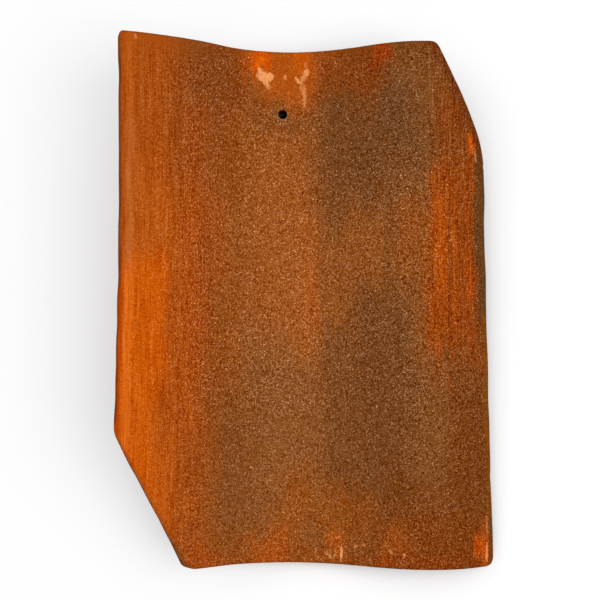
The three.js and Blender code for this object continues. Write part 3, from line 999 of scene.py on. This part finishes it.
grain = node(tree, "TexVoronoi", {"Vector": bat, "Scale": 1 / GRAIN_SIZE})
clump = node(tree, "TexVoronoi", {"Vector": bat, "Scale": 1 / CLUMP_SIZE})
either = either_way(tree, node(tree, "SeparateColor", {0: grain["Color"]})[0], 0.5, 1.0)
grain_shown = rise(tree, grain["Distance"], *GRAIN_EDGE, GRAIN_STEP)
grain_tone = times(tree, either, calc(tree, "ABSOLUTE", either), grain_shown)
crack = times(tree, calc(tree, "SUBTRACT", CRACK_MIDDLE, clump["Distance"]), CRACK_STEP)
speckled = node(tree, "SeparateColor", {0: clump["Color"]})[1]
speck = where(tree, SPECK_STEP, (speckled, SPECKS_FROM, 1.0), (clump["Distance"], *SPECK_EDGE))
grain_tone = calc(tree, "ADD", grain_tone, calc(tree, "ADD", crack, speck))

# How much of the facing is worn off, place by place: the most, and where it rises to that.
SMOOTH_CORNER_WORN = 0.8
RIGHT_BAND_WORN = 0.15
WORN = [
    (0.6, (across, 90, 100), (across, 144, 134), (along, 300, 320)),  # above the nail hole
    (0.58, (across, 60, 12)),  # the left band
    (0.78, (across, 10.5, 7)),  # the lip
    (0.5, (along, 334, 340)),  # the head's rim
    (0.6, (across, 253, 258), (along, 140, 165)),  # the right edge, but not near the foot
    (0.55, (across, 256.5, 259.5)),  # the right rim
]

worn = times(tree, smooth_corner, SMOOTH_CORNER_WORN)
worn = calc(tree, "MAXIMUM", worn, times(tree, right_band, RIGHT_BAND_WORN))
for most, *rises in WORN:
    worn = calc(tree, "MAXIMUM", worn, where(tree, most, *rises))

# The grains differ a little less from one another on the head of the roll and at the foot.
CALMED = 0.84

calmer = where(tree, 1.0, (along, 262, 300), (across, 130, 152))
calmer = calc(tree, "MAXIMUM", calmer, rise(tree, along, 125, 75))
calmed = rise(tree, calmer, 0.0, 1.0, high=CALMED, low=1.0)
grain_tone = times(tree, grain_tone, calc(tree, "SUBTRACT", 1.0, worn), calmed)
grain_tone = calc(tree, "ADD", grain_tone, lines)
colour = node(tree, "Gamma", {0: colour, 1: 1 / DISPLAY_GAMMA})[0]
colour = paint(tree, colour, grain_tone, 1.0, blend_type="ADD", clamp_result=True)
colour = node(tree, "Gamma", {0: colour, 1: DISPLAY_GAMMA})[0]

# A grain of the coarse sand is paler than the clay, or darker.
PALEST_SAND = 0.6
DARKEST_SAND = 0.8

sand_tone = node(tree, "Attribute", {}, attribute_name="sand")["Fac"]
colour = paint(tree, colour, PALE_SAND, rise(tree, sand_tone, 0.0, 1.0, PALEST_SAND))
colour = paint(tree, colour, DARK_SAND, rise(tree, sand_tone, 0.0, -1.0, DARKEST_SAND))

# The scuffs, with ragged outlines and dusty clay that some grains still stand in. One less wide than
# NARROW_SCUFF is a scratch, which keeps its line.
NARROW_SCUFF = 1.0
SCUFF_EDGE = (1.5, 0.7)
DUST_LEVEL = 1.05
DUST_SPREAD = 0.17
DUST_STEP = 0.35
DUST_BY_GRAINS = 2.5

torn = mottle(tree, bat, (2.2, 2.6, 2.0), detail=4.0, rough=0.7)[1]
torn_place = stray(tree, on_face, (torn, (5.5, 5.5)), (by_grains, (2.5, 2.5)))
scratch_place = stray(tree, on_face, (by_grains, (1.6, 5.0)))
scuffed = 0.0
for middle, up, wide, long, lean, _, pale in SCUFFS:
    place = scratch_place if wide < NARROW_SCUFF else torn_place
    turn = np.radians(lean)
    x = along_line(tree, place, (middle, up), (np.cos(turn) / wide, -np.sin(turn) / wide))
    y = along_line(tree, place, (middle, up), (np.sin(turn) / long, np.cos(turn) / long))
    out = calc(tree, "ADD", times(tree, x, x), times(tree, y, y))
    scuffed = calc(tree, "MAXIMUM", scuffed, rise(tree, out, *SCUFF_EDGE, pale))
dusty = either_way(tree, mottle(tree, bat, (1.1, 1.3, 1.0))[0], DUST_SPREAD, DUST_STEP)
dusty = calc(tree, "ADD", dusty, times(tree, grain_tone, DUST_BY_GRAINS))
scuffed = times(tree, scuffed, faced, calc(tree, "ADD", DUST_LEVEL, dusty))
colour = paint(tree, colour, PALE_CLAY, calc(tree, "MINIMUM", scuffed, 1.0))

# The nail hole's rim is worn pale on the side towards the foot, and its bore is painted near-black, a
# painted shade.
HOLE_WORN_AT = (HOLE_PLACE[0] - 0.3, HOLE_PLACE[1] - 0.8, 0.0)
HOLE_WORN_EDGE = (4.0, 3.2)
HOLE_WORN = 0.7
HOLE_SHADE_EDGE = (3.4, 2.9)

rim_worn = rise(tree, distance(tree, on_face, HOLE_WORN_AT), *HOLE_WORN_EDGE, HOLE_WORN)
colour = paint(tree, colour, WORN_RIM, rim_worn)
# The bore and its edge are painted near-black: a painted shade.
hole_shaded = rise(tree, distance(tree, on_face, (*HOLE_PLACE, 0.0)), *HOLE_SHADE_EDGE)
colour = paint(tree, colour, HOLE_SHADE, hole_shaded)

# Heights in millimetres: the grains stand a little proud, and the drag lines are cut in.
GRAIN_REACH = 0.6
GRAIN_HEIGHT = 0.12
DRAG_LINE_DEPTH = 0.12

height = times(tree, calc(tree, "SUBTRACT", GRAIN_REACH, grain["Distance"]), GRAIN_HEIGHT)
height = calc(tree, "ADD", height, times(tree, streaks, DRAG_LINE_DEPTH))
bump = node(tree, "Bump", {"Strength": 1.0, "Distance": MM, "Height": height})[0]
tree.links.new(bump, shader.inputs["Normal"])
tree.links.new(colour, shader.inputs["Base Color"])
shader.inputs["Roughness"].default_value = 0.9
shader.inputs["Specular IOR Level"].default_value = 0.02
tile.data.materials.append(clay)

# ----------------------------------------
# The facing sand: thrown on the wet clay so that it leaves the mould, and burnt on in the kiln. Its
# coarsest grains stand out of the top face. It is thin on the bright left band and worn off the head
# above the nail hole.

SAND_COUNT = 15000
SAND_RADIUS = (0.17, 0.4)
SAND_SUNK = 0.3
SAND_RIM = 2.8
SAND_OFF_HOLE = 4.0
SAND_TONE = (-0.7, 1.0)
SAND_OFF_SCUFF = 0.05
LEFT_BAND_SHARE = 0.45
LEFT_BAND_EDGE = (26, 66)
HEAD_WORN = 0.85
HEAD_WORN_LEFT = (92, 100)
HEAD_WORN_RIGHT = (134, 142)
HEAD_WORN_FOOT = (304, 316)


def grain_shapes(draw, count):
    """Eight-sided grains of about unit radius: the six ends of three axes square to one another, turned
    any way and each drawn in or out by its own amount."""
    ends = np.concatenate([np.eye(3), -np.eye(3)])
    axes = np.linalg.qr(draw.normal(size=(count, 3, 3)))[0]
    axes *= np.sign(np.linalg.det(axes))[:, None, None]
    return ends @ axes * draw.uniform(0.7, 1.3, (count, len(ends), 1))


# The eight sides of a grain, as the numbers of their corners among its six.
one_grain = np.array([
    (0, 1, 2), (1, 3, 2), (3, 4, 2), (4, 0, 2), (1, 0, 5), (3, 1, 5), (4, 3, 5), (0, 4, 5)
])
corners = one_grain.max() + 1

draw = np.random.default_rng(41)
across = draw.uniform(0, BAT_WIDTH, 2 * SAND_COUNT)
along = draw.uniform(SAND_RIM, LENGTH - SAND_RIM, 2 * SAND_COUNT)
from_left = across - np.interp(along, LEFT_SIDE[:, 1], LEFT_SIDE[:, 0])
from_right = np.interp(along, RIGHT_SIDE[:, 1], RIGHT_SIDE[:, 0]) - across
thickly = LEFT_BAND_SHARE + (1 - LEFT_BAND_SHARE) * smooth(across, *LEFT_BAND_EDGE)
on_head = smooth(across, *HEAD_WORN_LEFT) * (1 - smooth(across, *HEAD_WORN_RIGHT))
thickly *= 1 - HEAD_WORN * on_head * smooth(along, *HEAD_WORN_FOOT)
off_hole = np.hypot(across - HOLE_PLACE[0], along - HOLE_PLACE[1])
kept = draw.uniform(0, 1, across.shape) < thickly
kept &= (from_left > SAND_RIM) & (from_right > SAND_RIM) & (off_hole > SAND_OFF_HOLE)
kept &= scuff_depth(across, along) < SAND_OFF_SCUFF
across, along = across[kept][:SAND_COUNT], along[kept][:SAND_COUNT]
grains = len(across)
radius = draw.uniform(*SAND_RADIUS, grains)
sunk = top_relief(across, along) - (1 - 2 * SAND_SUNK) * radius
sand_places = np.stack([across, along, sunk], axis=-1)
sand_points = bend(*sand_places.T)[:, None] + radius[:, None, None] * grain_shapes(draw, grains)
sand = piece_mesh(
    "facing_sand",
    sand_points.reshape(-1, 3),
    np.repeat(sand_places, corners, axis=0),
    (one_grain + corners * np.arange(grains)[:, None, None]).reshape(-1, 3),
)
sand.data.shade_flat()
sand.data.attributes.new("sand", "FLOAT", "POINT").data.foreach_set(
    "value", np.repeat(draw.uniform(*SAND_TONE, grains), corners).astype(np.float32)
)
sand.data.materials.append(clay)
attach(sand, "root")

# ----------------------------------------
# The stage, in metres: a pale floor, a large soft light high on the right, a weaker one on the left,
# and a camera that looks down on the tile.

FLOOR_SIZE = 3.0
FLOOR_GREY = (0.45, 0.45, 0.45, 1.0)
FLOOR_SHOWN = (0.62, 0.62, 0.62, 1.0)
PAINTED_SHADOW_BLACK = (0.0, 0.0, 0.0, 1.0)
WHITE = (1.0, 1.0, 1.0, 1.0)
UNDER_HOLE_SHADOW_EDGE = (0.006, 0.014)
OPEN_REACH = 0.1
OPEN_SAMPLES = 16
OPEN_EDGE = (0.2, 0.8)
OPEN_GLOW = 0.45
FAR_OFF = (0.3, 0.9)
FAR_GLOW = 0.7

floor_mesh = bpy.data.meshes.new("floor")
floor_corners = FLOOR_SIZE * np.array([(-1, -1, 0), (1, -1, 0), (1, 1, 0), (-1, 1, 0)])
floor_mesh.from_pydata(floor_corners.tolist(), [], [(0, 1, 2, 3)])
floor = added("floor", floor_mesh)
paper = bpy.data.materials.new("pale_floor")
paper.use_nodes = True
tree = paper.node_tree
paper_shader = tree.nodes["Principled BSDF"]

# To the camera the floor glows a little where it is open to the sky, and glows white further out;
# where the glow fades near and under the tile, that is painted shade. Right under the nail hole it is
# painted black, a painted shadow seen through the hole.
seen = node(tree, "LightPath", {})
on_floor = node(tree, "TexCoord", {})["Object"]
under_hole = bend(*np.array([*HOLE_PLACE, THICKNESS])[:, None])
under_hole = (laid_down(under_hole) + seat)[0] * MM * (1, 1, 0)
# Painted shadow: black on the floor right under the nail hole.
clear_of_painted_shadow = rise(tree, distance(tree, on_floor, under_hole.tolist()), *UNDER_HOLE_SHADOW_EDGE)
shown = paint(tree, PAINTED_SHADOW_BLACK, FLOOR_SHOWN, clear_of_painted_shadow)
tree.links.new(paint(tree, FLOOR_GREY, shown, seen["Is Camera Ray"]), paper_shader.inputs["Base Color"])
open_above = node(tree, "AmbientOcclusion", {"Distance": OPEN_REACH}, samples=OPEN_SAMPLES)["AO"]
far_off = distance(tree, on_floor, (0.0, 0.0, 0.0))
glow = rise(tree, open_above, *OPEN_EDGE, OPEN_GLOW)
glow = calc(tree, "ADD", glow, rise(tree, far_off, *FAR_OFF, FAR_GLOW))
glow = times(tree, glow, seen["Is Camera Ray"])
tree.links.new(glow, paper_shader.inputs["Emission Strength"])
paper_shader.inputs["Emission Color"].default_value = WHITE
paper_shader.inputs["Roughness"].default_value = 1.0
paper_shader.inputs["Specular IOR Level"].default_value = 0.0
floor_mesh.materials.append(paper)


def soft_light(name, place, size, power):
    """A square area light that faces the middle of the tile and isn't seen itself."""
    lamp = bpy.data.lights.new(name, "AREA")
    lamp.shape = "SQUARE"
    lamp.size = size
    lamp.energy = power
    light = added(name, lamp)
    light.location = place
    light.rotation_mode = "QUATERNION"
    light.rotation_quaternion = (-light.location).to_track_quat("-Z", "Y")
    light.visible_camera = False


soft_light("key", place=(0.75, -0.15, 1.25), size=0.9, power=9.0)
soft_light("fill", place=(-0.9, 0.4, 1.1), size=0.9, power=2.5)

# The sky lights the tile at SKY_STRENGTH and looks white.
SKY_STRENGTH = 0.55

world = bpy.data.worlds.new("studio")
bpy.context.scene.world = world
world.use_nodes = True
tree = world.node_tree
seen = node(tree, "LightPath", {})
showing = calc(tree, "MAXIMUM", seen["Is Camera Ray"], seen["Is Glossy Ray"])
showing = calc(tree, "MAXIMUM", showing, seen["Is Transmission Ray"])
sky = tree.nodes["Background"]
sky.inputs["Color"].default_value = WHITE
tree.links.new(rise(tree, showing, 0.0, 1.0, high=1.0, low=SKY_STRENGTH), sky.inputs["Strength"])

lens = bpy.data.cameras.new("camera")
lens.lens = 72.0
lens.sensor_width = 36.0
camera = added("camera", lens)
camera.location = (0.08804, -0.08664, 0.81329)
camera.rotation_euler = np.radians((6.512, 6.836, 0.55))
bpy.context.scene.camera = camera
bpy.context.scene.view_settings.view_transform = "Standard"

bpy.context.view_layer.update()
